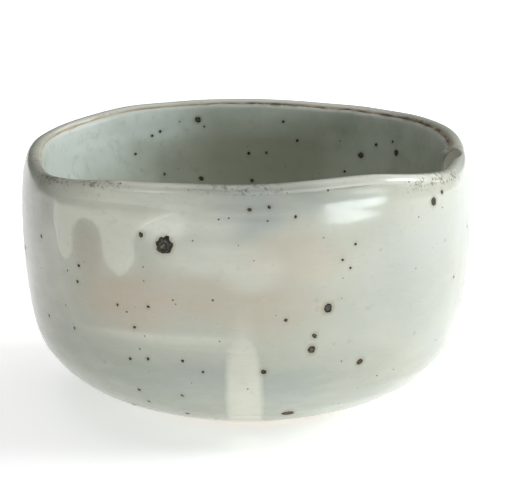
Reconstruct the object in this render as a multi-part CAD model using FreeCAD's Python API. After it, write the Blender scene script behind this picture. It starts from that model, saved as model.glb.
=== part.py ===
import FreeCAD, Part

"""A hand-made matcha bowl (chawan): stoneware body and foot ring, glaze coats, white pours and iron spots.

Millimetres, +Z up, origin on the table under the middle of the foot. The pouring notch is at the +X end
and the white pours are on the -Y side. Azimuths are degrees about +Z, counted from +X.

The clay has one smooth skin. It starts under the belly beside the foot, climbs the outside, turns over the
lip, comes down the inside and ends at the edge of the flat pool in the floor. Every glaze coat is a layer on
that skin, so pieces that touch share their faces.
"""
import math
import os

from FreeCAD import Vector

# Foot
FOOT_OUTER = 24.0        # radius of the trimmed seat that the ring is luted into
FOOT_INNER = 17.6        # radius of the hollow inside the ring
FOOT_SEAT = 3.0          # height of the face that the ring is luted to
FOOT_BEVEL = 0.8         # worn corner where the ring meets the table

# Section of the clay, as (radius, height) stations from beside the foot round to the pool
OUTSIDE = [(24.8, 1.0), (42.5, 5.2), (55.1, 15.5), (58.4, 24.9), (61.2, 44.4), (61.7, 62.4), (61.0, 66.8)]
LIP = [(60.3, 70.1), (58.6, 70.9), (56.5, 70.2)]
INSIDE = [(55.5, 66.5), (55.2, 56.0), (54.4, 42.0), (51.8, 27.0), (46.5, 15.5), (33.0, 9.2), (21.0, 8.3)]
POOL = (12.0, 8.3)       # edge of the flat pool in the middle of the floor
INSIDE_SHIFT = -0.95     # the inside sits off centre, so the wall is thickest at the notch
INSIDE_OVAL = 0.9        # at the lip the inside is narrower along X, and wider along Y, by this much

# The thrown form was squeezed while soft: nothing below ROUND_BELOW, the full amount at LIP_HEIGHT
ROUND_BELOW = 9.0
LIP_HEIGHT = 69.5
SQUARED = 0.037          # share of the radius by which the four flats stand in
LOBED = 0.015            # share of the radius by which the three lobes stand out
LOBE_TURN = 20.0         # phase of the lobes, in degrees of their own cycle
# Rise of the lip over its mean height, at every 30 degrees from azimuth 0
LIP_RISE = [-0.8, -0.2, 0.6, 1.8, 1.0, -1.5, -1.7, -2.9, -0.3, 0.0, 1.2, -1.7]

# Pouring notch, pressed into the lip from inside with a thumb tip
NOTCH_AZIMUTH = -12.0
NOTCH_THUMB = 9.4        # radius of the thumb tip
NOTCH_REACH = 57.1       # how far from the axis of the bowl it reaches
NOTCH_FLOOR = 66.5       # height at which the thumb tip starts to round off below
THUMB_LENGTH = 20

# Glaze coats
OUTER_GLAZE = 0.5
INNER_GLAZE = 0.45
LIP_GLAZE = 0.22         # both coats run thin over the lip
GLAZE_START = 27.5       # radius under the belly where the outside coat stops
OUTER_PAST_CREST = 1.4   # how far past the lip's crest the outside coat ends
INNER_PAST_CREST = 2.0   # how far past the crest the inside coat begins, with bare clay between
POUR_GLAZE = 0.35        # the white glaze lies on the outside coat

# Outlines of the white pours: two smooth stretches of (azimuth, height) points that share their ends
LEFT_POUR = [
    [(-98.5, 65.2), (-119, 66.4), (-139.8, 65.3)],
    [
        (-139.8, 65.3), (-140.3, 60), (-139.8, 55.5), (-139, 51), (-136.5, 48.4), (-133.6, 51.5),
        (-132.3, 58), (-129, 60.6), (-125.7, 58), (-124.5, 51), (-120.5, 47), (-116.5, 51),
        (-115.7, 58), (-110, 62.4), (-98.5, 65.2),
    ],
]
FRONT_RUN = [
    [
        (-83.8, 4), (-84.5, 11), (-85.8, 24), (-87, 32), (-91, 36.4), (-95.6, 32), (-96, 24), (-97, 11),
        (-97.8, 4),
    ],
    [(-97.8, 4), (-91, 3.2), (-83.8, 4)],
]
LEFT_POUR_MIDDLE = (-122, 62)    # azimuth and radius of the wall under each pour
FRONT_RUN_MIDDLE = (-90, 58)
POUR_CUT = (30, 50)      # where the prism over a pour's outline starts, and its length

# Iron grains that melted through the glaze, as (azimuth, height, diameter)
OUTER_SPOTS = [
    (-109, 56, 4.6), (-71, 40, 2.6), (-74, 33, 1.4), (-74.5, 29.4, 1.8), (-61.5, 24.7, 1.8), (-86, 23.8, 1.5),
    (-77.5, 9.7, 3.2), (-43, 63.5, 2.1), (-130, 8.5, 1.2), (-89.5, 65, 1.0), (-147, 52.5, 1.0),
]
INNER_SPOTS = [
    (104.5, 67, 2.0), (103.5, 49.5, 1.5), (53.5, 57.7, 1.8), (40.5, 60.1, 1.8), (48.5, 61.3, 1.0),
    (87.5, 48.7, 1.0), (88.5, 56.8, 1.0), (124, 57.9, 1.0),
]
SPOT_PROUD = 0.06        # how far a grain stands out of its glaze
PEG_LENGTH = 4           # of the peg that cuts a grain out of the coats

COLUMNS = 36             # columns of control points round the bowl
DEGREE = 3


def polar(radius, azimuth, height):
    a = math.radians(azimuth)
    return Vector(radius * math.cos(a), radius * math.sin(a), height)


def lip_rise(azimuth):
    """The lip's rise at an azimuth, on a smooth closed curve through LIP_RISE."""
    place = (azimuth % 360.0) * len(LIP_RISE) / 360.0
    low = int(place)
    t = place - low
    a, b, c, d = (LIP_RISE[(low + k) % len(LIP_RISE)] for k in (-1, 0, 1, 2))
    return b + 0.5 * t * (c - a + t * (2 * a - 5 * b + 4 * c - d + t * (3 * (b - c) + d - a)))


def squeezed(radius, height, azimuth, oval=0.0):
    """A point of the thrown form, where the squeezing has moved it."""
    share = max(0.0, (height - ROUND_BELOW) / (LIP_HEIGHT - ROUND_BELOW))
    flats = SQUARED * math.cos(math.radians(4 * azimuth))
    lobes = LOBED * math.sin(math.radians(3 * azimuth - LOBE_TURN))
    radius += share * (radius * (lobes - flats) - oval * math.cos(math.radians(2 * azimuth)))
    return polar(radius, azimuth, height + share ** 2 * lip_rise(azimuth))


def clay_rows():
    """Points of the clay's skin, one row round the bowl for each station of the section."""
    azimuths = [360.0 * k / COLUMNS for k in range(COLUMNS)]
    rows = [[squeezed(r, z, a) for a in azimuths] for r, z in OUTSIDE + LIP]
    shift = Vector(INSIDE_SHIFT, 0, 0)
    rows += [[squeezed(r, z, a, INSIDE_OVAL) + shift for a in azimuths] for r, z in INSIDE]
    rows.append([polar(POOL[0], a, POOL[1]) + shift for a in azimuths])
    return rows


def layer(rows, depths):
    """The rows moved away from the clay, each by its own depth."""
    moved = []
    for i, row in enumerate(rows):
        below, above = rows[max(i - 1, 0)], rows[min(i + 1, len(rows) - 1)]
        new = []
        for k, point in enumerate(row):
            around = row[(k + 1) % COLUMNS] - row[k - 1]
            normal = around.cross(above[k] - below[k]).normalize()
            new.append(point + normal * depths[i])
        moved.append(new)
    return moved


def closed_poles(row):
    """Control points of the closed cubic spline through a row of points."""
    poles = list(row)
    for _ in range(12):
        shown = [(poles[k - 1] + poles[k] * 4 + poles[(k + 1) % COLUMNS]) * (1 / 6) for k in range(COLUMNS)]
        poles = [pole + point - now for pole, point, now in zip(poles, row, shown)]
    return poles


def skin_through(rows):
    """A smooth surface that is closed round the bowl and takes its section from the rows."""
    spans = len(rows) - DEGREE
    knots = [k / spans for k in range(spans + 1)]
    mults = [DEGREE + 1] + [1] * (spans - 1) + [DEGREE + 1]
    columns = [list(column) for column in zip(*[closed_poles(row) for row in rows])]
    around = [k / COLUMNS for k in range(COLUMNS + 1)]
    skin = Part.BSplineSurface()
    skin.buildFromPolesMultsKnots(
        columns, [1] * len(around), mults, around, knots, True, False, DEGREE, DEGREE
    )
    return skin


def ring_at(skin, v):
    return skin.vIso(v).toShape()


def disc_at(skin, v):
    return Part.Face(Part.Wire([ring_at(skin, v)]))


def closed_solid(faces):
    shell = Part.Shell(faces)
    shell.sewShape()
    solid = Part.Solid(Part.Shell(shell.Faces))
    if solid.Volume < 0:
        solid.reverse()
    return solid


def coat(under, over, start, end):
    """The layer between two skins from one place on the section to another, the pool included at 1."""
    faces = [skin.toShape(0, 1, start, end) for skin in (under, over)]
    faces.append(Part.makeRuledSurface(ring_at(under, start), ring_at(over, start)))
    if end < 1:
        faces.append(Part.makeRuledSurface(ring_at(under, end), ring_at(over, end)))
    else:
        faces += [disc_at(under, 1), disc_at(over, 1)]
    return closed_solid(faces)


def bisect(reached, low, high):
    """The place between low and high where reached turns true."""
    for _ in range(40):
        middle = (low + high) / 2
        if reached(middle):
            high = middle
        else:
            low = middle
    return high


def crest_of(skin):
    """The place on the section where the lip is highest."""
    heights = [(skin.value(0, k / 500).z, k / 500) for k in range(501)]
    return max(heights)[1]


def past(skin, start, distance):
    """The place on the section that is a distance along the skin past start."""
    def reached(v):
        marks = [skin.value(0, start + (v - start) * k / 20) for k in range(21)]
        return sum((b - a).Length for a, b in zip(marks, marks[1:])) > distance
    return bisect(reached, start, start + 0.2)


def spot_pegs(skin, spots, low, high, rising):
    """A peg for each spot, square to the skin and reaching through every coat."""
    first = skin.value(0, low)
    turn = math.degrees(math.atan2(first.y, first.x))
    pegs = []
    for azimuth, height, diameter in spots:
        u = ((azimuth - turn) / 360.0) % 1.0
        v = bisect(lambda v: (skin.value(u, v).z > height) == rising, low, high)
        point, normal = skin.value(u, v), skin.normal(u, v)
        outwards = normal if normal.dot(polar(1, azimuth, 0)) * (1 if rising else -1) > 0 else -normal
        foot = point - outwards * (PEG_LENGTH / 2)
        pegs.append(Part.makeCylinder(diameter / 2, PEG_LENGTH, foot, outwards))
    return Part.makeCompound(pegs)


def outline_prism(outline, middle):
    """A prism over an outline on the wall, seen square on from the azimuth of its middle."""
    facing, radius = middle
    begin, length = POUR_CUT
    out, side = polar(1, facing, 0), polar(1, facing + 90, 0)
    edges = []
    for stretch in outline:
        curve = Part.BSplineCurve()
        curve.interpolate([
            out * begin + side * (radius * math.sin(math.radians(azimuth - facing))) + Vector(0, 0, height)
            for azimuth, height in stretch
        ])
        edges.append(curve.toShape())
    return Part.Face(Part.Wire(edges)).extrude(out * length)


def make_clay(skin):
    body = closed_solid([skin.toShape(0, 1, 0, 1), disc_at(skin, 0), disc_at(skin, 1)])
    return body.cut(Part.makeCylinder(FOOT_OUTER, FOOT_SEAT))


def make_foot():
    """The ring, turned from a section with worn corners."""
    section = [
        (FOOT_OUTER, FOOT_SEAT), (FOOT_OUTER, FOOT_BEVEL), (FOOT_OUTER - FOOT_BEVEL, 0),
        (FOOT_INNER + FOOT_BEVEL, 0), (FOOT_INNER, FOOT_BEVEL), (FOOT_INNER, FOOT_SEAT),
    ]
    points = [Vector(r, 0, z) for r, z in section]
    return Part.Face(Part.makePolygon(points + points[:1])).revolve(Vector(), Vector(0, 0, 1), 360)


def make_thumb():
    """The thumb tip that presses the notch: a shank with a round end."""
    tip = polar(NOTCH_REACH - NOTCH_THUMB, NOTCH_AZIMUTH, NOTCH_FLOOR)
    return Part.makeCylinder(NOTCH_THUMB, THUMB_LENGTH, tip).fuse(Part.makeSphere(NOTCH_THUMB, tip))


def build():
    rows = clay_rows()
    shoulder = len(OUTSIDE) - 1
    inside = len(OUTSIDE) + len(LIP)
    outer_depths = [OUTER_GLAZE] * shoulder + [LIP_GLAZE] * (len(rows) - shoulder)
    inner_depths = [LIP_GLAZE] * (inside + 1) + [INNER_GLAZE] * (len(rows) - inside - 1)
    outer_rows = layer(rows, outer_depths)
    clay_skin = skin_through(rows)
    outer_skin = skin_through(outer_rows)
    inner_skin = skin_through(layer(rows, inner_depths))
    pour_skin = skin_through(layer(outer_rows, [POUR_GLAZE] * len(rows)))
    outer_peg_skin = skin_through(layer(rows, [depth + SPOT_PROUD for depth in outer_depths]))
    inner_peg_skin = skin_through(layer(rows, [depth + SPOT_PROUD for depth in inner_depths]))

    crest = crest_of(clay_skin)
    start = bisect(lambda v: clay_skin.value(0, v).x > GLAZE_START, 0, crest)
    outer_end = past(clay_skin, crest, OUTER_PAST_CREST)
    inner_start = past(clay_skin, crest, INNER_PAST_CREST)

    thumb = make_thumb()
    outer_pegs = spot_pegs(clay_skin, OUTER_SPOTS, 0, crest, True)
    inner_pegs = spot_pegs(clay_skin, INNER_SPOTS, crest, 1, False)
    pours = coat(outer_skin, pour_skin, start, crest).cut(outer_pegs)

    return {
        "clay_body": make_clay(clay_skin).cut(thumb),
        "foot_ring": make_foot(),
        "outer_glaze": coat(clay_skin, outer_skin, start, outer_end).cut(thumb).cut(outer_pegs),
        "inner_glaze": coat(clay_skin, inner_skin, inner_start, 1).cut(thumb).cut(inner_pegs),
        "white_pour_left": pours.common(outline_prism(LEFT_POUR, LEFT_POUR_MIDDLE)),
        "white_run_front": pours.common(outline_prism(FRONT_RUN, FRONT_RUN_MIDDLE)),
        "iron_spots_outside": coat(clay_skin, outer_peg_skin, start, crest).common(outer_pegs),
        "iron_spots_inside": coat(clay_skin, inner_peg_skin, inner_start, 1).common(inner_pegs),
    }


if __name__ == "__main__":
    os.makedirs("parts", exist_ok=True)
    for name, shape in build().items():
        shape.exportStep(f"parts/{name}.step")
        print(name, "solids", len(shape.Solids), "valid", shape.isValid(), f"{shape.Volume:.1f} mm3")
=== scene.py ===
import math

import bpy
import numpy as np
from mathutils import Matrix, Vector


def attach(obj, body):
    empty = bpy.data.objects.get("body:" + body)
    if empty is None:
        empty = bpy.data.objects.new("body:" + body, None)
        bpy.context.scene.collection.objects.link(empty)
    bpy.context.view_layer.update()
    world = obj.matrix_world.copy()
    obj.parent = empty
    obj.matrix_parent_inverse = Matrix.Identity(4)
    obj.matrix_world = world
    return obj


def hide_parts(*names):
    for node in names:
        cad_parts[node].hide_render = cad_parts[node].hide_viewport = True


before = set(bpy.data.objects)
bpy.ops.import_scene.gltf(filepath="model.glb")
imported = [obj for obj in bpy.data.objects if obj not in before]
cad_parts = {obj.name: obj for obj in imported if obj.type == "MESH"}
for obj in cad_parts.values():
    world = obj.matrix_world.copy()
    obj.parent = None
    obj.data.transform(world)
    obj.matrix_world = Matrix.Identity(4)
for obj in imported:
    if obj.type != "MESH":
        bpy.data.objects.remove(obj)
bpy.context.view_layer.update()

MM = 0.001
TURN = 2 * math.pi

# ---------------------------------------------------------------------------
# The clay's section and squeezed plan, as the CAD has them: millimetres
# ---------------------------------------------------------------------------
OUTSIDE = [(24.8, 1.0), (42.5, 5.2), (55.1, 15.5), (58.4, 24.9), (61.2, 44.4), (61.7, 62.4), (61.0, 66.8)]
LIP = [(60.3, 70.1), (58.6, 70.9), (56.5, 70.2)]
INSIDE = [(55.5, 66.5), (55.2, 56.0), (54.4, 42.0), (51.8, 27.0), (46.5, 15.5), (33.0, 9.2), (21.0, 8.3)]
POOL_RADIUS, POOL_HEIGHT = 12.0, 8.3
INSIDE_SHIFT, INSIDE_OVAL = -0.95, 0.9
ROUND_BELOW, LIP_HEIGHT = 9.0, 69.5
SQUARED, LOBED, LOBE_TURN = 0.037, 0.015, math.radians(20.0)
LIP_RISE = [-0.8, -0.2, 0.6, 1.8, 1.0, -1.5, -1.7, -2.9, -0.3, 0.0, 1.2, -1.7]
NOTCH_AZIMUTH, NOTCH_THUMB, NOTCH_REACH, NOTCH_FLOOR = math.radians(-12.0), 9.4, 57.1, 66.5
FOOT_OUTER, FOOT_INNER, FOOT_SEAT, FOOT_BEVEL = 24.0, 17.6, 3.0, 0.8
GLAZE_START = 27.5       # radius under the belly where the outside coat begins

# Coats, in millimetres; "run" is the distance along the section past the lip's crest, negative on the outside
OUTER_COAT, INNER_COAT, LIP_COAT = 0.45, 0.43, 0.20
BURIED = 0.2             # how deep a coat's end lies in the clay
UNDER = 0.3              # how deep the hidden face of a coat lies
OUTER_FIRST_RADIUS = GLAZE_START - 1.5
OUTER_LAST_RUN, INNER_FIRST_RUN = 3.4, 1.2
POOL_DIP = 0.45

# Radii of the wall that turn azimuths into distances along it
HAND_ARM, PATCH_ARM, LIP_ARM, POUR_ARM = 60.0, 61.0, 57.0, 62.0

SECTION = np.array(OUTSIDE + LIP + INSIDE + [(POOL_RADIUS, POOL_HEIGHT)])
IS_INSIDE = np.array([0.0] * len(OUTSIDE + LIP) + [1.0] * (len(INSIDE) + 1))
COLUMNS = 640
AZIMUTHS = np.arange(COLUMNS) * TURN / COLUMNS

# Shallow hollows left by the hands: azimuth, height, half width, half height, depth
DENTS = [
    (-14, 14, 12, 3.0, 0.8), (-60, 46, 16, 12, 0.45), (-96, 26, 14, 9, 0.30), (-150, 38, 15, 12, 0.5),
    (95, 40, 18, 12, 0.55), (150, 30, 14, 10, 0.4), (40, 44, 16, 14, 0.5), (-66, 68, 18, 8.5, 1.4),
    (-112, 70, 12, 5, 0.25),
]
THROWING_PITCH, FINE_PITCH, INSIDE_PITCH = 4.9, 2.3, 5.6
TRIMMED_STEP = 0.42      # depth of the step trimmed low on the left of the front


def smooth(low, high, x):
    """Soft step from 0 at low to 1 at high; low may be the larger."""
    t = np.clip((x - low) / (high - low), 0, 1)
    return t * t * (3 - 2 * t)


def bell(x, width):
    """Soft bump of height 1 at zero."""
    return np.exp(-(x / width) ** 2)


def turned(a, b):
    """Difference of two azimuths in radians, between minus and plus half a turn."""
    return (a - b + math.pi) % TURN - math.pi


def waves(seed, low, high, x, y=None, pitch=0.0):
    """A sum of seeded waves round the bowl, about -1..1; y adds a second direction with that pitch."""
    rng = np.random.default_rng(seed)
    total = np.zeros_like(x)
    for k in range(low, high + 1):
        phase, lean, size = rng.uniform(0, 6.28), rng.normal(), rng.uniform(0.5, 1.0)
        total = total + size * np.sin(k * x + phase + (0 if y is None else lean * pitch * y))
    return total / math.sqrt(0.6 * (high - low + 1)) / 1.6


def spline_weights(places):
    """Weight of each of the section's stations at places in 0..1, as rows."""
    degree, count = 3, len(SECTION)
    knots = np.concatenate([np.zeros(degree), np.linspace(0, 1, count - degree + 1), np.ones(degree)])
    x = np.clip(places, 0, 1 - 1e-9)[:, None]
    w = ((knots[:-1] <= x) & (x < knots[1:])).astype(float)
    for d in range(1, degree + 1):
        n = len(knots) - 1 - d
        left, right = knots[d:d + n] - knots[:n], knots[d + 1:d + 1 + n] - knots[1:1 + n]
        rising = np.where(left > 0, (x - knots[:n]) / np.where(left > 0, left, 1), 0)
        falling = np.where(right > 0, (knots[d + 1:d + 1 + n] - x) / np.where(right > 0, right, 1), 0)
        w = rising * w[:, :n] + falling * w[:, 1:n + 1]
    return w


def lip_rise(a):
    """The lip's rise at an azimuth, on a smooth closed curve through LIP_RISE."""
    rise = np.array(LIP_RISE)
    count = len(rise)
    place = (a / TURN % 1.0) * count
    low = np.floor(place).astype(int)
    t = place - low
    p, q, r, s = (rise[(low + k) % count] for k in (-1, 0, 1, 2))
    return q + 0.5 * t * (r - p + t * (2 * p - 5 * q + 4 * r - s + t * (3 * (q - r) + s - p)))


def skin(a, v):
    """Points of the smooth clay skin at azimuths a and places v on the section."""
    shape = np.shape(a)
    a, v = np.ravel(a), np.ravel(v)
    w = spline_weights(v)
    radii, heights = SECTION.T
    share = np.clip((heights - ROUND_BELOW) / (LIP_HEIGHT - ROUND_BELOW), 0, None)
    bulge = LOBED * np.sin(3 * a - LOBE_TURN) - SQUARED * np.cos(4 * a)
    oval = (w @ (share * IS_INSIDE)) * INSIDE_OVAL * np.cos(2 * a)
    radius = w @ radii + (w @ (radii * share)) * bulge - oval
    height = w @ heights + (w @ share ** 2) * lip_rise(a)
    x = radius * np.cos(a) + (w @ IS_INSIDE) * INSIDE_SHIFT
    return np.stack([x, radius * np.sin(a), height], -1).reshape(shape + (3,))


def normals(surface, a, v):
    """Outward unit normals of a surface given as a function of azimuth and place."""
    da, dv = 0.002, 0.0008
    low, high = np.clip(v - dv, 0, 1), np.clip(v + dv, 0, 1)
    around = surface(a + da, v) - surface(a - da, v)
    along = surface(a, high) - surface(a, low)
    n = np.cross(around, along)
    return n / np.linalg.norm(n, axis=-1, keepdims=True)


# The run at evenly spaced places, measured along the front of the bowl
PLACES = np.linspace(0, 1, 4001)
FRONT_LINE = skin(np.full(len(PLACES), -0.5 * math.pi), PLACES)
LENGTHS = np.concatenate([[0], np.cumsum(np.linalg.norm(np.diff(FRONT_LINE, axis=0), axis=1))])
CREST = PLACES[np.argmax(FRONT_LINE[:, 2])]
RUNS = LENGTHS - np.interp(CREST, PLACES, LENGTHS)


def run_at(v):
    return np.interp(v, PLACES, RUNS)


def place_at(run):
    return np.interp(run, RUNS, PLACES)


def relief(a, v, p):
    """How far the maker's hands moved the thrown surface along its normal: it only goes in."""
    run, z = run_at(v), p[..., 2]
    outside = smooth(0.5, -6, run) > 0.5
    rings = (0.024 * (np.sin(TURN * z / THROWING_PITCH + a + 0.7 * np.sin(a + 1)) - 1)
             + 0.012 * (np.sin(TURN * z / FINE_PITCH - a) - 1)) * (1.2 + waves(8, 1, 5, a, z, 0.1))
    sway = 0.11 * (waves(3, 2, 7, a, z, 0.05) - 1)
    outer = smooth(-1, -10, run) * (rings + sway)
    for azimuth, height, wide, tall, depth in DENTS:
        across = turned(a, math.radians(azimuth)) * HAND_ARM
        outer = outer - depth * bell(across, wide) * bell(z - height, tall)
    line = 30.2 - 0.05 * turned(a, math.radians(-113)) * HAND_ARM
    stretch = bell(turned(a, math.radians(-110)) * HAND_ARM, 20)
    outer = outer - TRIMMED_STEP * stretch * smooth(0.4, -0.5, z - line) * smooth(-13, -2, z - line)
    grooves = (0.03 + 0.05 * smooth(45, 75, run)) * (np.sin(TURN * run / INSIDE_PITCH + a) - 1)
    inner = smooth(1, 9, run) * (grooves + 0.09 * (waves(5, 2, 6, a, z, 0.06) - 1))
    return np.where(outside, outer, inner)


def pressed(p):
    """Points moved out of the thumb that pressed the notch."""
    centre = (NOTCH_REACH - NOTCH_THUMB) * np.array([math.cos(NOTCH_AZIMUTH), math.sin(NOTCH_AZIMUTH)])
    away = p[..., :2] - centre
    far = np.linalg.norm(away, axis=-1)
    below = np.clip(NOTCH_FLOOR - p[..., 2], 0, None)
    limit = np.sqrt(np.clip(NOTCH_THUMB ** 2 - below ** 2, 0, None))
    outwards = (away @ centre) / np.linalg.norm(centre)
    live = (p[..., 2] > NOTCH_FLOOR - NOTCH_THUMB) & (outwards > 0)
    softness = 0.5
    new = np.where(live, 0.5 * (far + limit + np.sqrt((far - limit) ** 2 + softness ** 2)), far)
    q = p.copy()
    q[..., :2] = centre + away * (new / np.maximum(far, 1e-6))[..., None]
    return q, np.where(live, new - far, 0)


def clay(a, v):
    """The clay's surface as made: smooth skin, hand marks, uneven lip and notch."""
    p = skin(a, v)
    n = normals(skin, a, v)
    p = p + n * relief(a, v, p)[..., None]
    run = run_at(v)
    near_lip = bell(run, 5.0)
    p[..., 2] += near_lip * 0.13 * (waves(11, 4, 22, a) - 1.1)
    # the clay at the far corner of the notch stands proud
    corner = NOTCH_AZIMUTH + math.radians(10.5)
    nib = 0.9 * bell(turned(a, corner) * LIP_ARM, 1.5) * bell(run - 3.0, 3.2)
    p = p - nib[..., None] * np.stack([np.cos(a), np.sin(a), 0 * a], -1)
    return pressed(p)[0]


def pocket(a, v):
    """How much a point belongs to the pressed notch, 0..1."""
    p = skin(a, v)
    moved = pressed(p)[1]
    return smooth(0.25, 0.9, moved)


def outer_depth(a, v):
    """Depth of the outside coat over the clay; below zero it lies buried."""
    run = run_at(v)
    p = skin(a, v)
    wall = OUTER_COAT - (OUTER_COAT - LIP_COAT) * smooth(-7, -1, run)
    radius = np.hypot(p[..., 0], p[..., 1])
    edge = GLAZE_START + 0.9 * (1 + waves(21, 3, 24, a))
    start = (radius - edge) * (run < -50) + 50 * (run >= -50)
    bead = 1 + 0.25 * bell(start - 1.2, 1.2)
    wall = wall * bead * smooth(-0.1, 1.1, start) - BURIED * smooth(0.1, -0.6, start)
    end = 1.6 + 0.14 * waves(22, 4, 40, a) - run
    wall = wall * smooth(0, 0.8, end) - 0.15 * smooth(0.1, -0.4, end)
    hide = pocket(a, v) * smooth(-1.2, 0.2, run)
    return wall * (1 - hide) - BURIED * hide


def inner_depth(a, v):
    """Depth of the inside coat over the clay; below zero it lies buried."""
    run = run_at(v)
    past = run - 2.0 - 0.16 * waves(23, 4, 40, a)
    wall = INNER_COAT - 0.15 * smooth(12, 2, run)
    wall = wall * smooth(0, 1.0, past) - 0.15 * smooth(0.1, -0.4, past)
    hide = pocket(a, v)
    return wall * (1 - hide) - BURIED * hide


def coated(depth):
    """The surface of a coat of that depth on the clay."""
    def surface(a, v):
        return clay(a, v) + normals(clay, a, v) * depth(a, v)[..., None]
    return surface


outer_surface, inner_surface = coated(outer_depth), coated(inner_depth)


def rows_between(start, end, spacing):
    """Places on the section from one run to another, with spacing(run) millimetres between them."""
    runs = [start]
    while runs[-1] < end:
        runs.append(runs[-1] + spacing(runs[-1]))
    runs[-1] = end
    return place_at(np.array(runs))


def spacing(run):
    """Distance between rows: fine at the lip, coarser down the walls."""
    if run < 0:
        return 0.3 + 0.75 * float(smooth(-4, -14, run))
    return 0.3 + 0.15 * float(smooth(4, 8, run)) + 0.95 * float(smooth(12, 20, run))


def mesh_from(name, points, faces, fields):
    """An object from points in millimetres, faces and one value a point for each field."""
    mesh = bpy.data.meshes.new(name)
    mesh.from_pydata((points * MM).tolist(), [], faces)
    mesh.update()
    for field, values in fields.items():
        layer = mesh.attributes.new(field, "FLOAT", "POINT")
        layer.data.foreach_set("value", np.asarray(values, dtype=np.float32))
    mesh.calc_loop_triangles()
    corners = np.empty(len(mesh.loop_triangles) * 3, dtype=np.int32)
    mesh.loop_triangles.foreach_get("vertices", corners)
    x, y, z = points[corners].reshape(-1, 3, 3).transpose(1, 0, 2)
    if np.einsum("ij,ij->", x, np.cross(y, z)) < 0:
        mesh.flip_normals()
    mesh.shade_smooth()
    obj = bpy.data.objects.new(name, mesh)
    bpy.context.scene.collection.objects.link(obj)
    return obj


def loft(name, rings, fields=None, start_pole=None, end_pole=None):
    """A closed mesh from rings of points; the ends meet at poles, or else at each other."""
    rings = [np.asarray(ring) for ring in rings]
    count = rings[0].shape[0]
    points = np.concatenate(rings)
    fields = {k: np.concatenate([np.ravel(x) for x in values]) for k, values in (fields or {}).items()}
    k = np.arange(count)
    after = (k + 1) % count
    faces = []
    spans = len(rings) - 1 if start_pole is not None else len(rings)
    for i in range(spans):
        j = (i + 1) % len(rings)
        faces += np.stack([i * count + k, i * count + after, j * count + after, j * count + k], 1).tolist()
    for pole, ring in ((start_pole, 0), (end_pole, len(rings) - 1)):
        if pole is not None:
            tip = len(points)
            points = np.concatenate([points, np.asarray(pole, float)[None]])
            for field in fields:
                fields[field] = np.append(fields[field], fields[field][ring * count])
            fan = np.stack([ring * count + after, ring * count + k, np.full(count, tip)], 1)
            faces += (fan if ring == 0 else fan[:, [1, 0, 2]]).tolist()
    return mesh_from(name, points, faces, fields)


def grid(places):
    """Azimuth and place of every point on rows at the given places."""
    a, v = np.meshgrid(AZIMUTHS, places)
    return a, v


def pool_rings(depth, height, radii):
    """Rings over the flat pool in the floor, from its edge inwards."""
    rings = []
    for r in radii:
        dip = POOL_DIP * (1 - (r / POOL_RADIUS) ** 2) + 0.25 * bell(r - POOL_RADIUS + 1.4, 0.7)
        z = np.full(COLUMNS, height + depth - dip)
        rings.append(np.stack([r * np.cos(AZIMUTHS) + INSIDE_SHIFT, r * np.sin(AZIMUTHS), z], -1))
    return rings


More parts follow.
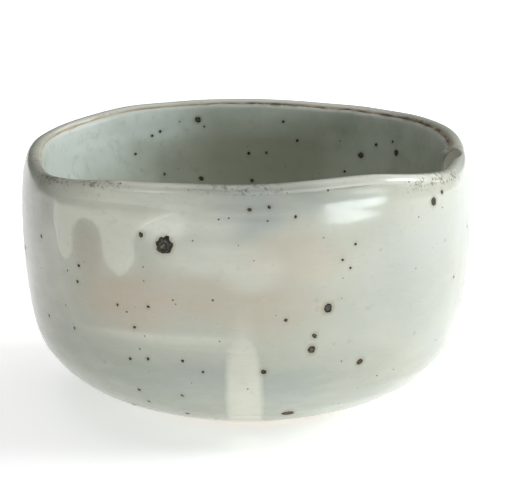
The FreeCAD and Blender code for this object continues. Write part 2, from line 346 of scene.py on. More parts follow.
# ---------------------------------------------------------------------------
# Where the glaze colours lie, with some painted light and shade among them: soft patches as (azimuth, height,
# half width, half height, strength)
# ---------------------------------------------------------------------------
PATCHES = {
    "blush": [
        (-117, 41, 20, 8.5, 0.7), (-80, 53, 14, 7.5, 0.65), (-86, 40, 16, 9, 0.55), (-128, 50, 7, 10, 0.35),
        (-100, 43, 15, 7, 0.6), (60, 40, 22, 9, 0.7), (150, 46, 18, 8, 0.6), (10, 30, 12, 7, 0.3),
    ],
    "pool": [
        (-89.5, 65, 12.5, 7.5, 1.0), (-78, 67, 10, 4.5, 0.6), (-80, 18, 11, 7, 0.65), (-104, 21, 13, 7, 0.5),
        (-52, 12, 12, 6, 0.4), (-30, 20, 12, 8, 0.35), (110, 62, 14, 7, 0.7), (20, 20, 14, 7, 0.5),
        (-139, 27, 9, 5, 0.3), (-66, 67, 9, 3, 0.4),
    ],
    "pale": [
        (-45, 45, 20, 20, 0.8), (-20, 55, 20, 16, 0.8), (-30, 30, 18, 12, 0.6), (80, 50, 16, 12, 0.5),
        (-62, 34, 10, 12, 0.35), (180, 40, 16, 14, 0.4),
    ],
    # shade: partly darker glaze by the pours and along the front lip, partly painted shade where the bowl
    # would look too bright: the far left edge, the right edge and low on the belly
    "shade": [
        (-129, 53, 5, 9, 0.8), (-124, 42, 14, 6, 0.3), (-148, 46, 7, 12, 0.5), (-146.5, 62, 7, 8, 1.0),
        (-158, 46, 13, 30, 0.95), (-145, 30, 10, 10, 0.55), (-45, 40, 22, 14, 0.35), (-15, 42, 16, 18, 0.5),
        (-152, 56, 9, 14, 0.9), (-4, 40, 9, 28, 0.35), (-28, 16, 12, 8, 0.35), (-128, 34, 12, 12, 0.25),
        (-60, 24, 14, 8, 0.25), (-90, 70.2, 20, 2.6, 0.8),
        (-92, 9, 30, 5, 0.5), (-45, 15, 20, 7, 0.4), (-82, 67.5, 16, 3.5, 0.35), (-12, 60, 10, 12, 0.3),
    ],
    # mist: a paler bluish tone, partly painted light where the lamps light the inside walls, most on the left
    # wall
    "mist": [
        (152, 62, 36, 13, 1.0), (118, 67, 18, 8, 0.8), (90, 70, 18, 5, 0.2), (-160, 50, 24, 14, 0.6),
        (36, 58, 24, 14, 0.14),
    ],
    # olive: a darker olive tone, partly painted shade in the middle of the inside back wall
    "olive": [
        (86, 55, 30, 11, 0.9), (45, 50, 26, 10, 0.2), (100, 30, 50, 12, 0.6),
    ],
    "broken": [
        (-146, 68.2, 12, 2.2, 1.0), (-126, 69.2, 10, 1.5, 0.8), (-92, 69.9, 15, 1.8, 0.9),
        (-40, 68.8, 17, 2.6, 0.9), (120, 70, 20, 1.4, 0.5), (-172, 67.5, 12, 1.4, 0.7),
        (35, 69.5, 14, 1.3, 0.5),
    ],
    # veil: cream glaze; its thin patch at azimuth -109, height 32.2 is a painted highlight along the trimmed
    # step
    "veil": [
        (-118, 65.5, 25, 5.0, 1.0), (-109, 61.8, 11, 5.5, 1.0), (-101, 53, 10, 6, 0.5), (-89, 51, 10, 6, 0.5),
        (-91, 22, 4.5, 16, 0.38), (-109, 32.2, 19, 1.3, 0.5), (-20, 22, 12, 9, 0.4), (-75, 51, 9, 6, 0.2),
        (-120, 52, 5, 5, 0.6), (-100, 62, 10, 5, 0.5),
        (130, 58, 16, 10, 0.6), (30, 60, 12, 8, 0.4),
    ],
}

# Iron grains as (azimuth, height, diameter)
OUTER_SPOTS = [
    (-109, 56, 4.4), (-71, 40, 2.6), (-74, 33, 1.4), (-74.5, 29.4, 2.0), (-61.5, 24.7, 1.9), (-86, 23.8, 1.5),
    (-77.5, 9.7, 3.2), (-43, 63.5, 2.3), (-39.5, 65.2, 1.2), (-114.5, 58.2, 1.4), (-130, 8.5, 1.2),
    (-89.5, 65.2, 1.1), (-147, 52.5, 1.0), (-85, 65.8, 0.9), (-79, 63.3, 0.9), (-81, 37.5, 0.9),
    (-133, 43.6, 0.9), (-132, 48, 0.9), (-121.5, 39.5, 0.8), (-113.5, 40, 0.9), (-117.5, 34.1, 0.9),
    (-149.5, 30.5, 0.9), (-137, 30.3, 0.9), (-120, 25.1, 0.9), (-115, 25.7, 1.0), (-106, 26, 0.9),
    (-101, 23.3, 0.7), (-120, 16.2, 1.0), (-119.5, 12.2, 0.9), (-107.5, 16, 0.9), (-109.5, 8.6, 1.1),
    (-65, 55.8, 0.7), (-68, 52.1, 0.8), (-66, 49.9, 0.7), (-30, 41, 0.8), (-20, 52, 0.9), (-8, 24, 1.3),
    (15, 47, 2.2), (38, 30, 1.4), (64, 52, 1.0), (88, 33, 2.8), (97, 58, 1.2), (121, 24, 1.6),
    (143, 50, 2.0), (160, 36, 1.1), (172, 58, 1.5), (70, 17, 1.2), (108, 44, 0.9), (24, 14, 1.1),
    (-165, 45, 1.2), (-172, 20, 1.6),
]
INNER_SPOTS = [
    (104.5, 67, 2.0), (102.5, 64.9, 0.7), (116, 63.9, 0.9), (118.5, 62.8, 0.9), (124, 57.9, 1.0),
    (115, 51.3, 0.9), (103.5, 49.5, 1.5), (87.5, 48.7, 1.1), (88.5, 56.8, 1.0), (83, 57, 0.9),
    (78, 66.3, 0.9), (73.5, 60.8, 0.9), (53.5, 57.7, 1.8), (40.5, 60.1, 1.8), (42.5, 63, 0.9),
    (48.5, 61.3, 1.0), (58.5, 52.5, 0.9), (160, 40, 1.6), (-150, 52, 1.3), (-120, 30, 1.8), (-60, 44, 1.2),
    (-30, 58, 1.0), (-95, 61, 0.9), (20, 36, 1.4), (66, 24, 1.1), (170, 20, 1.0), (-80, 18, 1.3),
]


def patch(field, a, z):
    """How much of a colour's patches lies at each point, with wobbling edges."""
    total = np.zeros_like(a)
    wobble = waves(31 + len(field), 3, 22, a, z, 0.16)
    for azimuth, height, wide, tall, strength in PATCHES[field]:
        x = turned(a, math.radians(azimuth)) * PATCH_ARM / wide
        y = (z - height) / tall
        total = np.maximum(total, strength * smooth(1.25, 0.35, np.sqrt(x * x + y * y) + 0.16 * wobble))
    return total


def paint(a, v, spots):
    """Every field that the materials read, at each point."""
    p = skin(a, v)
    run, z = run_at(v), p[..., 2]
    fields = {field: patch(field, a, z) for field in PATCHES}
    fields["low"] = smooth(34, 20, z) * smooth(-0.3, 0.6, np.cos(a - math.radians(-135)))
    stain = np.zeros_like(a)
    for azimuth, height, size in spots:
        across = turned(a, math.radians(azimuth)) * np.hypot(p[..., 0], p[..., 1])
        far = np.hypot(across, z - height)
        stain = np.maximum(stain, smooth(size * 0.5 + 0.9, size * 0.45, far) * min(1, size / 2))
    fields["stain"] = stain
    iron_side = 0.4 + 0.7 * smooth(1.15, 0.55, np.abs(turned(a, math.radians(50))))
    fields["lip"] = bell(run - 1.95, 0.6) * iron_side * np.clip(0.85 + 0.4 * waves(41, 5, 60, a), 0.2, 1.3)
    fields["run"] = run
    return fields


def shell(name, places, over, spots, pool=False):
    """A coat as a closed mesh: its shown face, then its buried face on fewer rows."""
    a, v = grid(places)
    top = over(a, v)
    back = np.append(places[:-1:4 if pool else 12], places[-1])[::-1]
    a2, v2 = grid(back)
    under = clay(a2, v2) - normals(clay, a2, v2) * UNDER
    fields, fields2 = paint(a, v, spots), paint(a2, v2, spots)
    rings, back_rings = list(top), list(under)
    values = {k: list(fields[k]) for k in fields}
    if pool:
        radii = [POOL_RADIUS * f for f in (0.94, 0.88, 0.82, 0.74, 0.64, 0.5, 0.34, 0.18, 0.06)]
        floor_rings = pool_rings(POOL_DIP, POOL_HEIGHT, radii)
        base_rings = pool_rings(-UNDER, POOL_HEIGHT, radii[::-1])
        for k in values:
            edge = fields[k][-1]
            values[k] += [edge] * (len(radii) * 2) + list(fields2[k])
        return loft_pool(name, rings + floor_rings, base_rings + back_rings, values)
    for k in values:
        values[k] += list(fields2[k])
    return loft(name, rings + back_rings, values)


def loft_pool(name, top_rings, under_rings, values):
    """The inside coat: shown face down to the middle of the pool and back under it."""
    count = COLUMNS
    points = np.concatenate([np.concatenate(top_rings), np.concatenate(under_rings)])
    fields = {k: np.concatenate([np.ravel(x) for x in rows]) for k, rows in values.items()}
    k = np.arange(count)
    after = (k + 1) % count
    shown, total = len(top_rings), len(top_rings) + len(under_rings)
    faces = []
    for i in range(total):
        if i != shown - 1:
            near, far = i * count, (i + 1) % total * count
            faces += np.stack([near + k, near + after, far + after, far + k], 1).tolist()
    for ring, z, flip in ((shown - 1, POOL_HEIGHT, False), (shown, POOL_HEIGHT - UNDER - POOL_DIP, True)):
        tip = len(points)
        points = np.concatenate([points, [[INSIDE_SHIFT, 0, z]]])
        for field in fields:
            fields[field] = np.append(fields[field], fields[field][ring * count])
        fan = np.stack([ring * count + k, ring * count + after, np.full(count, tip)], 1)
        faces += (fan[:, [1, 0, 2]] if flip else fan).tolist()
    return mesh_from(name, points, faces, fields)


# ---------------------------------------------------------------------------
# Pieces
# ---------------------------------------------------------------------------
belly = np.linspace(0, CREST * 0.5, 900)
belly_radii = skin(np.zeros(len(belly)), belly)[:, 0]
first_run = float(np.interp(OUTER_FIRST_RADIUS, belly_radii, run_at(belly)))
outer_places = rows_between(first_run, OUTER_LAST_RUN, spacing)
inner_places = rows_between(INNER_FIRST_RUN, run_at(1.0), spacing)
outer_glaze = shell("outer_glaze_coat", outer_places, outer_surface, OUTER_SPOTS)
inner_glaze = shell("inner_glaze_coat", inner_places, inner_surface, INNER_SPOTS, pool=True)


def make_clay():
    """The clay: bare under the belly and in the notch, and a little under the coats elsewhere."""
    coarse = [p for i, p in enumerate(outer_places) if run_at(p) > -5 or i % 6 == 0]
    fine = [p for p in inner_places if run_at(p) > OUTER_LAST_RUN]
    fine = [p for i, p in enumerate(fine) if run_at(p) < 15 or i % 2 == 0]
    places = np.array([0.0, 0.004, 0.01] + coarse + fine + [1.0])
    a, v = grid(places)
    # inside, below the lip, the clay lies a little deeper, so that it stays under the coat in the curve
    rings = list(clay(a, v) - normals(clay, a, v) * 0.15 * smooth(15, 20, run_at(v))[..., None])
    fields = paint(a, v, [])
    fields["pocket"] = pocket(a, v)
    values = {k: list(fields[k]) for k in fields}
    rings += pool_rings(0.0, POOL_HEIGHT, [POOL_RADIUS * f for f in (0.8, 0.5, 0.15)])
    # the underside: a trimmed seat for the ring and a hollow with a turning spiral
    seat = [
        (FOOT_OUTER + 0.25, 1.0), (FOOT_OUTER, 1.25), (FOOT_OUTER, FOOT_SEAT - 0.2),
        (FOOT_OUTER - 0.2, FOOT_SEAT),
    ]
    steps, ripple = 26, 0.12
    hollow = [(FOOT_INNER * (1 - i / steps), FOOT_SEAT - 0.15 + ripple * math.cos(1.7 * i))
              for i in range(steps)]
    under = []
    for i, (r, z) in enumerate(seat + hollow):
        swirl = 0.1 * np.sin(AZIMUTHS - TURN * r / 3.4) * (i >= len(seat))
        under.append(np.stack([r * np.cos(AZIMUTHS), r * np.sin(AZIMUTHS), z + swirl], -1))
    for k in values:
        first, last = values[k][0], values[k][-1]
        values[k] = [first] * len(under) + values[k] + [last] * 3
    underside_pole, pool_pole = (0, 0, FOOT_SEAT - 0.1), (INSIDE_SHIFT, 0, POOL_HEIGHT - POOL_DIP)
    return loft("clay_wall", under[::-1] + rings, values, underside_pole, pool_pole)


clay_wall = make_clay()


def make_foot():
    """The foot ring, turned, then worn where it meets the table."""
    columns, steps = 240, 6
    section = []
    for i in range(steps + 1):
        t = i / steps * math.pi / 2
        section.append((FOOT_OUTER - FOOT_BEVEL * (1 - math.cos(t)), FOOT_BEVEL * (1 - math.sin(t))))
    section += [(FOOT_OUTER - inset, 0.0) for inset in (1.6, 2.6, 3.6)] + [(FOOT_INNER + 1.6, 0.0)]
    for i in range(steps + 1):
        t = (1 - i / steps) * math.pi / 2
        section.append((FOOT_INNER + FOOT_BEVEL * (1 - math.cos(t)), FOOT_BEVEL * (1 - math.sin(t))))
    section += [(FOOT_INNER, 1.6), (FOOT_INNER, FOOT_SEAT), (FOOT_OUTER, FOOT_SEAT), (FOOT_OUTER, 1.6)]
    angles = np.arange(columns) * TURN / columns
    rings = []
    for r, z in section:
        wear = 0.16 * (1 + waves(51, 3, 30, angles)) * (0.05 < z < 1.0)
        inwards = 1 if r < 0.5 * (FOOT_OUTER + FOOT_INNER) else -1
        radius = r + inwards * wear
        rings.append(np.stack([radius * np.cos(angles), radius * np.sin(angles), np.full(columns, z)], -1))
    return loft("foot_ring_turned", rings)


foot = make_foot()


# ---------------------------------------------------------------------------
# White pours: outlines as two smooth stretches of (azimuth, height)
# ---------------------------------------------------------------------------
LEFT_POUR = [
    [(-98.5, 65.2), (-119, 66.4), (-139.8, 65.3)],
    [
        (-139.8, 65.3), (-140.3, 60), (-139.8, 55.5), (-139, 51), (-136.5, 48.4), (-133.6, 51.5),
        (-132.3, 58), (-129, 60.6), (-125.7, 58), (-124.5, 51), (-120.5, 47), (-116.5, 51), (-115.7, 58),
        (-110, 62.4), (-98.5, 65.2),
    ],
]
FRONT_RUN = [
    [
        (-83.8, 4), (-84.5, 11), (-85.8, 24), (-87, 32), (-91, 36.4), (-95.6, 32), (-96, 24), (-97, 11),
        (-97.8, 4),
    ],
    [(-97.8, 4), (-91, 3.2), (-83.8, 4)],
]
POUR_MARGIN = 1.2        # mesh round a pour's outline
POUR_RIM = -0.55         # distance inside the outline where the mesh of a pour ends


def rounded(points, steps=10):
    """A smooth open curve through points (Catmull-Rom)."""
    p = np.array(points, float)
    p = np.concatenate([[2 * p[0] - p[1]], p, [2 * p[-1] - p[-2]]])
    out = []
    for i in range(1, len(p) - 2):
        for t in np.arange(steps) / steps:
            a, b, c, d = p[i - 1:i + 3]
            out.append(b + 0.5 * t * (c - a + t * (2 * a - 5 * b + 4 * c - d + t * (3 * (b - c) + d - a))))
    return out


def inside_by(x, y, outline):
    """Distance inside a closed outline, negative outside it."""
    q = np.array(outline)
    r = np.roll(q, -1, axis=0)
    far = np.full(x.shape, 1e9)
    within = np.zeros(x.shape, bool)
    for (x0, y0), (x1, y1) in zip(q, r):
        dx, dy = x1 - x0, y1 - y0
        t = np.clip(((x - x0) * dx + (y - y0) * dy) / (dx * dx + dy * dy + 1e-12), 0, 1)
        far = np.minimum(far, np.hypot(x - x0 - t * dx, y - y0 - t * dy))
        if y0 != y1:
            within ^= ((y0 > y) != (y1 > y)) & (x < dx * (y - y0) / dy + x0)
    return np.where(within, far, -far)


def place_of(a, z, rising):
    """The place on the section where the smooth skin has a height, on the outside or inside."""
    low = np.full(np.shape(a), 0.0 if rising else CREST)
    high = np.full(np.shape(a), CREST if rising else 1.0)
    for _ in range(24):
        middle = 0.5 * (low + high)
        above = (skin(a, middle)[..., 2] > z) == rising
        low, high = np.where(above, low, middle), np.where(above, middle, high)
    return 0.5 * (low + high)


def make_pour(name, outline, depth, fades, step=0.33):
    """A poured coat with a soft edge, on the outside coat; one that fades also thins towards its tail."""
    corners = [(math.radians(a) * POUR_ARM, z) for a, z in rounded(outline[0]) + rounded(outline[1])]
    low_x, low_z = np.min(corners, axis=0) - POUR_MARGIN
    high_x, high_z = np.max(corners, axis=0) + POUR_MARGIN
    xs = np.arange(low_x, high_x, step)
    zs = np.arange(low_z, high_z, step)
    x, z = np.meshgrid(xs, zs)
    x = x + 0.25 * waves(61, 20, 60, z / 20) + 0.2 * waves(62, 5, 30, x / 12)
    a = x / POUR_ARM
    v = place_of(a, z, True)
    d = inside_by(x, z, corners)
    d = d + 0.18 * waves(63, 30, 70, a * 3, z, 0.4)
    top_line = np.array(rounded(outline[0]))
    top_line = top_line[np.argsort(top_line[:, 0])]
    top_height = np.interp(np.degrees(a), top_line[:, 0], top_line[:, 1])
    if fades:
        fade = smooth(-0.2, 3.2, top_height - z) * smooth(math.radians(-101), math.radians(-111), a)
    else:
        fade = smooth(-0.2, 9.0, top_height - z)
    inside = depth * fade * (1 - np.exp(-np.abs(d) / 1.1)) - 0.05 * (1 - fade)
    height = np.where(d > 0, inside, -0.25 * (1 - np.exp(d / 0.5)))
    base, n = outer_surface(a, v), normals(outer_surface, a, v)
    top = (base + n * height[..., None]).reshape(-1, 3)
    low = (base - n * UNDER).reshape(-1, 3)
    rows, cols = x.shape
    index = np.arange(rows * cols).reshape(rows, cols)
    near = d > POUR_RIM
    keep = near[:-1, :-1] & near[1:, :-1] & near[:-1, 1:] & near[1:, 1:]
    quads = np.stack([index[:-1, :-1], index[:-1, 1:], index[1:, 1:], index[1:, :-1]], -1)[keep]
    used = np.unique(quads)
    renumber = np.full(rows * cols, -1)
    renumber[used] = np.arange(len(used))
    quads = renumber[quads]
    edges = np.concatenate([quads[:, [i, (i + 1) % 4]] for i in range(4)])
    pairs = set(map(tuple, edges.tolist()))
    rim = [(p, q) for p, q in edges.tolist() if (q, p) not in pairs]
    count = len(used)
    sides = [(q, p, p + count, q + count) for p, q in rim]
    faces = quads.tolist() + (quads[:, ::-1] + count).tolist() + sides
    fields = paint(a, v, OUTER_SPOTS)
    uneven = np.clip(0.92 + 0.1 * waves(64, 4, 20, a * 4, z, 0.3), 0, 1)
    fields["cover"] = fade * smooth(-0.1, 1.3 if fades else 2.6, d) * uneven
    points = np.concatenate([top[used], low[used]])
    return mesh_from(name, points, faces, {k: np.tile(np.ravel(f)[used], 2) for k, f in fields.items()})


pour_left = make_pour("white_pour_left_coat", LEFT_POUR, 0.24, True)
run_front = make_pour("white_run_front_coat", FRONT_RUN, 0.10, False)


# A grain's rings as shares of its radius, and how far each stands out; a big grain also has a pale core
GRAIN_SHARES = np.array([0.3, 0.55, 0.75, 0.9, 1.0, 1.12])
GRAIN_LIFTS = np.array([0.035, 0.05, 0.075, 0.05, -0.01, -0.14])
BIG_GRAIN = 4.0


def make_spots(name, spots, surface, rising, seed):
    """Iron grains: small pitted mounds with ragged edges, melted into the coat."""
    rng = np.random.default_rng(seed)
    shares = GRAIN_SHARES
    count = 22
    phi = np.arange(count) * TURN / count
    points, faces, tone = [], [], []
    for azimuth, height, size in spots:
        ragged = 1 + 0.10 * waves(int(rng.integers(1 << 30)), 2, 4, phi)
        big = size > BIG_GRAIN
        ragged = ragged + (0.20 if big else 0.10) * waves(int(rng.integers(1 << 30)), 5, 8, phi)
        flat = 1.0 if big else rng.uniform(0.75, 1.0)
        lean = rng.uniform(0, math.pi)
        lift = GRAIN_LIFTS * min(1.0, 0.45 + 0.2 * size)
        lift = lift * (1 + 0.4 * rng.uniform(-1, 1))
        rho = 0.5 * size * shares[:, None] * ragged[None]
        dx, dz = rho * np.cos(phi), rho * np.sin(phi) * flat
        dx, dz = dx * math.cos(lean) - dz * math.sin(lean), dx * math.sin(lean) + dz * math.cos(lean)
        a0 = math.radians(azimuth)
        spot = np.array([a0]), place_of(np.array([a0]), np.array([float(height)]), rising)
        centre, n = surface(*spot)[0], normals(surface, *spot)[0]
        radius = math.hypot(centre[0], centre[1])
        slope = max(0.3, abs(math.hypot(n[0], n[1])))
        a, z = a0 + dx / radius, height + dz * slope
        v = place_of(a, z, rising)
        base, ns = surface(a, v), normals(surface, a, v)
        bumps = 0.25 * waves(int(rng.integers(1 << 30)), 3, 9, np.broadcast_to(phi, a.shape), dx * 2, 1.0)
        top = base + ns * (lift[:, None] * (1 + bumps))[..., None]
        first = len(points)
        points += list(top.reshape(-1, 3))
        points += [centre + n * 0.02, centre - n * UNDER]
        tone += list(np.repeat([0.8, 0.25, 0.0, 0.0, 0.0, 0.0], count) * (1 if big else 0.5))
        tone += [1.0 if big else 0.4, 0.0]
        for j in range(count):
            k = (j + 1) % count
            for i in range(len(shares) - 1):
                p, q = first + i * count, first + (i + 1) * count
                faces.append((p + j, q + j, q + k, p + k))
            last = first + (len(shares) - 1) * count
            faces.append((first + count * len(shares), first + j, first + k))
            faces.append((first + count * len(shares) + 1, last + k, last + j))
    return mesh_from(name, np.array(points), faces, {"core": tone})


spots_outside = make_spots("iron_spots_outside_grains", OUTER_SPOTS, outer_surface, True, 71)
spots_inside = make_spots("iron_spots_inside_grains", INNER_SPOTS, inner_surface, False, 72)


# ---------------------------------------------------------------------------
# Materials
# ---------------------------------------------------------------------------
class Nodes:
    """Short names for building one material's nodes."""

    def __init__(self, name):
        self.material = bpy.data.materials.new(name)
        self.material.use_nodes = True
        self.tree = self.material.node_tree
        self.shader = self.tree.nodes["Principled BSDF"]
        self.where = self.node("ShaderNodeTexCoord").outputs["Object"]

    def node(self, kind, **settings):
        node = self.tree.nodes.new(kind)
        for key, value in settings.items():
            setattr(node, key, value)
        return node

    def put(self, socket, value):
        if isinstance(value, bpy.types.NodeSocket):
            self.tree.links.new(value, socket)
        elif isinstance(value, tuple) and len(value) == 3 and socket.type == "RGBA":
            socket.default_value = value + (1.0,)
        else:
            socket.default_value = value

    def field(self, name):
        return self.node("ShaderNodeAttribute", attribute_name=name).outputs["Fac"]

    def math(self, operation, a, b=0.5, clamp=False):
        node = self.node("ShaderNodeMath", operation=operation, use_clamp=clamp)
        self.put(node.inputs[0], a)
        self.put(node.inputs[1], b)
        return node.outputs[0]

    def span(self, value, low, high, to_low=0.0, to_high=1.0):
        node = self.node("ShaderNodeMapRange", interpolation_type="SMOOTHSTEP")
        for i, x in enumerate((value, low, high, to_low, to_high)):
            self.put(node.inputs[i], x)
        return node.outputs[0]

    def mix(self, factor, a, b):
        node = self.node("ShaderNodeMix", data_type="RGBA")
        self.put(node.inputs["Factor"], factor)
        self.put(node.inputs["A"], a)
        self.put(node.inputs["B"], b)
        return node.outputs["Result"]

    def stretched(self, scale):
        node = self.node("ShaderNodeMapping")
        self.put(node.inputs["Vector"], self.where)
        node.inputs["Scale"].default_value = scale
        return node.outputs["Vector"]

    def noise(self, size_mm, detail=3.0, rough=0.55, stretch=None):
        node = self.node("ShaderNodeTexNoise")
        self.put(node.inputs["Vector"], self.where if stretch is None else self.stretched(stretch))
        node.inputs["Scale"].default_value = 1000.0 / size_mm
        node.inputs["Detail"].default_value = detail
        node.inputs["Roughness"].default_value = rough
        return node.outputs["Fac"]

    def cells(self, size_mm):
        node = self.node("ShaderNodeTexVoronoi")
        self.put(node.inputs["Vector"], self.where)
        node.inputs["Scale"].default_value = 1000.0 / size_mm
        apart = self.node("ShaderNodeSeparateColor")
        self.put(apart.inputs[0], node.outputs["Color"])
        return node.outputs["Distance"], apart.outputs[0], apart.outputs[1]

    def specks(self, size_mm, share, small, large):
        """Dots in a share of the cells, with radii from small to large as shares of a cell."""
        distance, pick, width = self.cells(size_mm)
        radius = self.span(width, 0.0, 1.0, small, large)
        dot = self.math("SUBTRACT", 1.0, self.span(self.math("DIVIDE", distance, radius), 0.75, 1.15))
        chosen = self.math("LESS_THAN", pick, share)
        return self.math("MULTIPLY", dot, chosen)

    def bump(self, height, distance_mm, strength=1.0, under=None):
        node = self.node("ShaderNodeBump")
        node.inputs["Strength"].default_value = strength
        node.inputs["Distance"].default_value = distance_mm * MM
        self.put(node.inputs["Height"], height)
        if under is not None:
            self.put(node.inputs["Normal"], under)
        return node.outputs["Normal"]

    def finish(self, color, rough, normal, specular=0.5, coat=0.0):
        self.put(self.shader.inputs["Base Color"], color)
        self.put(self.shader.inputs["Roughness"], rough)
        self.put(self.shader.inputs["Normal"], normal)
        self.shader.inputs["Specular IOR Level"].default_value = specular
        self.shader.inputs["Coat Weight"].default_value = coat
        self.shader.inputs["Coat Roughness"].default_value = 0.08
        return self.material


# The outside glaze
GREY_GREEN = (0.47, 0.485, 0.40)
WARM_GREY = (0.51, 0.515, 0.43)
THIN_RIM = (0.62, 0.62, 0.54)
GRAIN = (0.37, 0.37, 0.30)
DARK_BRUSH, LIGHT_BRUSH = (0.34, 0.36, 0.31), (0.66, 0.67, 0.60)
HALO, SMUDGE = (0.27, 0.20, 0.12), (0.20, 0.18, 0.13)
BLUSH = (0.51, 0.42, 0.31)
POOL_BLUE = (0.365, 0.395, 0.365)
LOW_GREEN = (0.37, 0.40, 0.335)
PALE = (0.475, 0.50, 0.465)
# the shade tone is partly darker glaze and partly painted shade
DARK_GLAZE_AND_SHADE = (0.345, 0.355, 0.29)
# the veil tone is cream glaze, and along the trimmed step a painted highlight
VEIL_AND_HIGHLIGHT = (0.71, 0.72, 0.615)
WHITE, CREAM = (0.64, 0.645, 0.54), (0.60, 0.60, 0.50)
IRON = (0.035, 0.028, 0.018)
RUST = (0.165, 0.125, 0.08)
# The inside glaze
CELADON_DARK, CELADON_LIGHT = (0.40, 0.43, 0.355), (0.50, 0.53, 0.45)
# the mist tone is partly painted light on the lit inside walls, the olive tone partly painted shade in the
# middle of the back wall
MIST_AND_LIGHT, OLIVE_AND_SHADE = (0.61, 0.67, 0.62), (0.37, 0.39, 0.305)
INNER_RIM, INNER_GRAIN = (0.58, 0.60, 0.54), (0.30, 0.31, 0.25)
INNER_HALO, INNER_SMUDGE = (0.20, 0.16, 0.10), (0.17, 0.16, 0.11)
# Bare clay
CLAY_BROWN, CLAY_BUFF, CLAY_SAND = (0.50, 0.40, 0.29), (0.58, 0.49, 0.37), (0.33, 0.25, 0.17)
# the pocket tone is pale clay made paler as painted light in the notch
CLAY_SPECK, CLAY_BURNT, POCKET_CLAY_AND_LIGHT = (0.10, 0.06, 0.035), (0.11, 0.075, 0.045), (0.78, 0.75, 0.66)
# Grains of iron
MELT_DARK, MELT_LIGHT, MELT_CORE = (0.012, 0.011, 0.008), (0.085, 0.072, 0.048), (0.17, 0.175, 0.15)


def glaze(name, covered):
    """The outside glaze; covered adds the white glaze of a pour on it."""
    n = Nodes(name)
    cloud, grain = n.noise(14, 4), n.noise(2.6, 3)
    streak = n.noise(9, 3, 0.6, (1.0, 1.0, 2.6))
    color = n.mix(n.span(cloud, 0.35, 0.65), GREY_GREEN, WARM_GREY)
    color = n.mix(n.math("MULTIPLY", n.field("low"), n.span(streak, 0.3, 0.6, 0.6, 1.0)), color, LOW_GREEN)
    color = n.mix(n.span(n.field("run"), -4.5, -1.0, 0.0, 0.7), color, THIN_RIM)
    # of these tints, shade is partly painted shade, and veil also paints a highlight line along the trimmed
    # step
    tints = {"pale": PALE, "shade": DARK_GLAZE_AND_SHADE, "blush": BLUSH, "pool": POOL_BLUE, "veil": VEIL_AND_HIGHLIGHT}
    for field, tint in tints.items():
        amount = n.math("MULTIPLY", n.field(field), n.span(streak, 0.3, 0.65, 0.65, 1.0))
        color = n.mix(amount, color, tint)
    if covered:
        color = n.mix(n.field("cover"), color, n.mix(n.span(cloud, 0.3, 0.7), WHITE, CREAM))
    color = n.mix(n.span(grain, 0.58, 0.8, 0.0, 0.3), color, GRAIN)
    brushed = n.noise(2.6, 4, 0.65, (1.0, 1.0, 4.5))
    color = n.mix(n.span(brushed, 0.42, 0.30, 0.0, 0.22), color, DARK_BRUSH)
    color = n.mix(n.span(brushed, 0.58, 0.70, 0.0, 0.12), color, LIGHT_BRUSH)
    # the glaze breaks to brown where it runs thin over the lip
    crawled = n.math("MULTIPLY", n.field("broken"), n.span(n.noise(1.5, 5, 0.7), 0.46, 0.62))
    thin = n.math("ADD", n.field("lip"), crawled)
    color = n.mix(n.math("MULTIPLY", n.span(thin, 0.1, 1.0), 0.7), color, RUST)
    color = n.mix(n.math("MULTIPLY", n.field("stain"), 0.55), color, HALO)
    smudge = n.math("MULTIPLY", n.specks(4.1, 0.30, 0.06, 0.20), n.span(n.noise(5, 3), 0.45, 0.6))
    color = n.mix(n.math("MULTIPLY", smudge, 0.28), color, SMUDGE)
    specks = n.math("MAXIMUM", n.specks(4.6, 0.36, 0.03, 0.085), n.specks(2.3, 0.15, 0.05, 0.13))
    flecks = n.math("MULTIPLY", n.specks(1.3, 0.40, 0.05, 0.24), n.span(n.field("broken"), 0.1, 0.5))
    specks = n.math("MAXIMUM", specks, flecks)
    color = n.mix(n.math("MULTIPLY", specks, 0.85), color, IRON)
    rough = n.span(cloud, 0.3, 0.7, 0.18, 0.265)
    normal = n.bump(n.noise(1.3, 2), 0.01, 0.5)
    normal = n.bump(n.noise(6, 2), 0.20, 0.5, normal)
    normal = n.bump(n.math("SUBTRACT", 1.0, n.specks(3.1, 0.14, 0.05, 0.10)), 0.02, 0.8, normal)
    return n.finish(color, rough, normal, coat=0.2)


def inner_glaze_material():
    """The celadon inside, with misty patches, partly painted light on the lit walls, and olive patches,
    partly painted shade in the middle of the back wall.
    """
    n = Nodes("celadon_inside")
    cloud, grain = n.noise(16, 4), n.noise(3.0, 3)
    color = n.mix(n.span(cloud, 0.35, 0.65), CELADON_DARK, CELADON_LIGHT)
    # painted light: the pale mist tone where the inside walls are lit
    color = n.mix(n.field("mist"), color, MIST_AND_LIGHT)
    # painted shade: the darker olive tone in the middle of the inside
    color = n.mix(n.field("olive"), color, OLIVE_AND_SHADE)
    color = n.mix(n.span(n.field("run"), 1.5, 4.5, 0.6, 0.0), color, INNER_RIM)
    color = n.mix(n.span(grain, 0.50, 0.75, 0.0, 0.35), color, INNER_GRAIN)
    smudge = n.math("MULTIPLY", n.specks(4.4, 0.35, 0.08, 0.24), n.span(n.noise(7, 3), 0.42, 0.58))
    color = n.mix(n.math("MULTIPLY", smudge, 0.38), color, INNER_SMUDGE)
    broken = n.span(n.math("MULTIPLY", n.field("lip"), n.span(n.noise(3.2, 3), 0.35, 0.6)), 0.25, 0.8)
    color = n.mix(n.math("MULTIPLY", broken, 0.6), color, RUST)
    color = n.mix(n.math("MULTIPLY", n.field("stain"), 0.5), color, INNER_HALO)
    specks = n.math("MAXIMUM", n.specks(5.2, 0.22, 0.03, 0.09), n.specks(2.6, 0.08, 0.05, 0.10))
    color = n.mix(n.math("MULTIPLY", specks, 0.8), color, IRON)
    rough = n.span(cloud, 0.3, 0.7, 0.38, 0.50)
    normal = n.bump(n.noise(1.4, 2), 0.02, 0.4)
    normal = n.bump(n.noise(7, 2), 0.20, 0.5, normal)
    return n.finish(color, rough, normal)


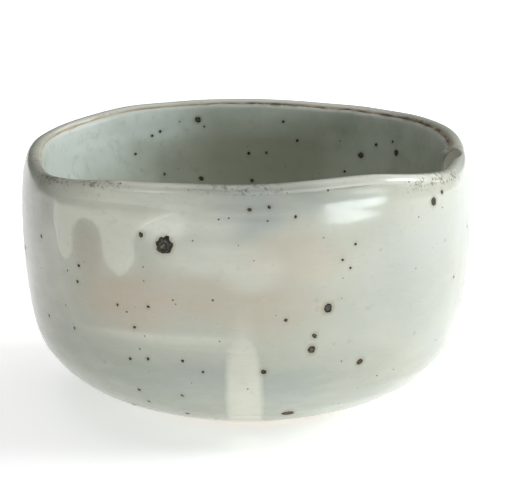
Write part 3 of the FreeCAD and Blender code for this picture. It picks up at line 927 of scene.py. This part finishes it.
def clay_material(name, on_body):
    """Gritty stoneware; on the body it is burnt at the lip, and glossy and painted pale in the notch: partly
    its clay, partly painted light.
    """
    n = Nodes(name)
    sand, cloud = n.noise(0.5, 4, 0.7), n.noise(9, 4)
    color = n.mix(n.span(cloud, 0.3, 0.7), CLAY_BROWN, CLAY_BUFF)
    color = n.mix(n.span(sand, 0.55, 0.75, 0.0, 0.5), color, CLAY_SAND)
    color = n.mix(n.math("MULTIPLY", n.specks(2.4, 0.12, 0.05, 0.13), 0.9), color, CLAY_SPECK)
    rough = n.span(sand, 0.3, 0.7, 0.62, 0.85)
    if on_body:
        rust = n.math("MULTIPLY", n.field("lip"), n.span(n.noise(4.0, 3), 0.3, 0.6, 0.3, 1.0))
        color = n.mix(rust, color, CLAY_BURNT)
        # painted light: the notch's clay is painted pale so that the pressed hollow looks lit
        color = n.mix(n.math("MULTIPLY", n.field("pocket"), 0.85), color, POCKET_CLAY_AND_LIGHT)
        rough = n.mix(n.field("pocket"), rough, (0.3, 0.3, 0.3))
    normal = n.bump(sand, 0.12, 0.7)
    normal = n.bump(n.noise(2.2, 2), 0.15, 0.5, normal)
    return n.finish(color, rough, normal, specular=0.35)


def iron_material():
    """Dark melted grains, greyer in the core of a big one."""
    n = Nodes("melted_iron")
    grain = n.noise(0.55, 3, 0.6)
    color = n.mix(n.span(grain, 0.4, 0.65), MELT_DARK, MELT_LIGHT)
    core = n.math("MULTIPLY", n.field("core"), n.span(n.noise(0.9, 2), 0.45, 0.6))
    color = n.mix(core, color, MELT_CORE)
    normal = n.bump(grain, 0.10, 0.8)
    return n.finish(color, n.span(grain, 0.3, 0.7, 0.45, 0.7), normal, specular=0.25)


base_glaze = glaze("pale_glaze", False)
white_glaze = glaze("white_poured_glaze", True)
celadon = inner_glaze_material()
bare_clay = clay_material("bare_stoneware", True)
foot_clay = clay_material("foot_stoneware", False)
iron = iron_material()

# Each piece with its material, its slot and the CAD node that it replaces
PIECES = [
    (outer_glaze, base_glaze, "base_glaze", "outer_glaze"),
    (inner_glaze, celadon, "inner_glaze", "inner_glaze"),
    (clay_wall, bare_clay, "bare_clay", "clay_body"),
    (foot, foot_clay, "bare_clay", "foot_ring"),
    (pour_left, white_glaze, "white_glaze", "white_pour_left"),
    (run_front, white_glaze, "white_glaze", "white_run_front"),
    (spots_outside, iron, "iron_spot", "iron_spots_outside"),
    (spots_inside, iron, "iron_spot", "iron_spots_inside"),
]
for piece, material, slot, node in PIECES:
    piece.data.materials.append(material)
    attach(piece, "root")
    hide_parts(node)


# ---------------------------------------------------------------------------
# Floor, light and camera
# ---------------------------------------------------------------------------
def make_floor():
    """A pale table that glows a little, and more away from the bowl, so that it fades to white."""
    half = 3.0
    corners = [(-half, -half, 0), (half, -half, 0), (half, half * 3, 0), (-half, half * 3, 0)]
    mesh = bpy.data.meshes.new("pale_floor")
    mesh.from_pydata(corners, [], [(0, 1, 2, 3)])
    floor = bpy.data.objects.new("pale_floor", mesh)
    bpy.context.scene.collection.objects.link(floor)
    n = Nodes("pale_floor")
    shader = n.shader
    shader.inputs["Base Color"].default_value = (0.9, 0.9, 0.9, 1)
    shader.inputs["Roughness"].default_value = 0.9
    shader.inputs["Specular IOR Level"].default_value = 0.1
    shader.inputs["Emission Color"].default_value = (1, 1, 1, 1)
    far = n.node("ShaderNodeVectorMath", operation="LENGTH")
    n.put(far.inputs[0], n.where)
    n.put(shader.inputs["Emission Strength"], n.span(far.outputs["Value"], 0.25, 0.8, 0.51, 0.80))
    mesh.materials.append(n.material)
    return floor


make_floor()


def towards(azimuth, elevation, distance):
    """A point in that direction, in degrees, from the origin."""
    a, e = math.radians(azimuth), math.radians(elevation)
    level = distance * math.cos(e)
    return (level * math.cos(a), level * math.sin(a), distance * math.sin(e))


def aim(obj, target):
    """Turn a light or camera to look at a point."""
    obj.rotation_euler = (obj.location - Vector(target)).to_track_quat("Z", "Y").to_euler()


def window(name, azimuth, elevation, distance, wide, tall, power, color=(1, 1, 1)):
    """A soft panel of light: direction in degrees, distance and size in metres, power in watts."""
    light = bpy.data.lights.new(name, "AREA")
    light.shape = "RECTANGLE"
    light.size, light.size_y = wide, tall
    light.energy = power
    light.color = color
    obj = bpy.data.objects.new(name, light)
    obj.location = towards(azimuth, elevation, distance)
    bpy.context.scene.collection.objects.link(obj)
    aim(obj, (0, 0, 0.04))


window("window", -48, 5.5, 1.5, 0.66, 0.17, 4.9, (0.88, 0.955, 1.0))
window("right_panel", 0, 29, 1.5, 0.8, 0.7, 16.5, (0.95, 0.985, 1.0))
window("back_panel", 45, 38, 1.5, 1.2, 0.7, 3.6)
window("high_panel", 175, 66, 1.5, 1.4, 1.0, 2.7)
window("front_panel", -90, 30, 1.5, 1.0, 0.7, 1.8)
window("top_panel", 0, 89, 1.2, 1.2, 1.2, 4.3)

world = bpy.data.worlds.new("studio")
world.use_nodes = True
world.node_tree.nodes["Background"].inputs["Color"].default_value = (1, 1, 1, 1)
world.node_tree.nodes["Background"].inputs["Strength"].default_value = 0.01
scene = bpy.context.scene
scene.world = world
scene.view_settings.view_transform = "Standard"

# Camera: a long lens, a little above the lip
CAMERA_DISTANCE, CAMERA_ELEVATION, LOOK_AT = 0.560, 14.17, (0, 0, 0.036)
camera_data = bpy.data.cameras.new("camera")
camera_data.sensor_width = 36
camera_data.lens = 147.388
camera_data.shift_x = 0.0103
camera_data.shift_y = 0.0299
camera = bpy.data.objects.new("camera", camera_data)
x, y, z = towards(-90, CAMERA_ELEVATION, CAMERA_DISTANCE)
camera.location = (x + LOOK_AT[0], y + LOOK_AT[1], z + LOOK_AT[2])
scene.collection.objects.link(camera)
aim(camera, LOOK_AT)
scene.camera = camera
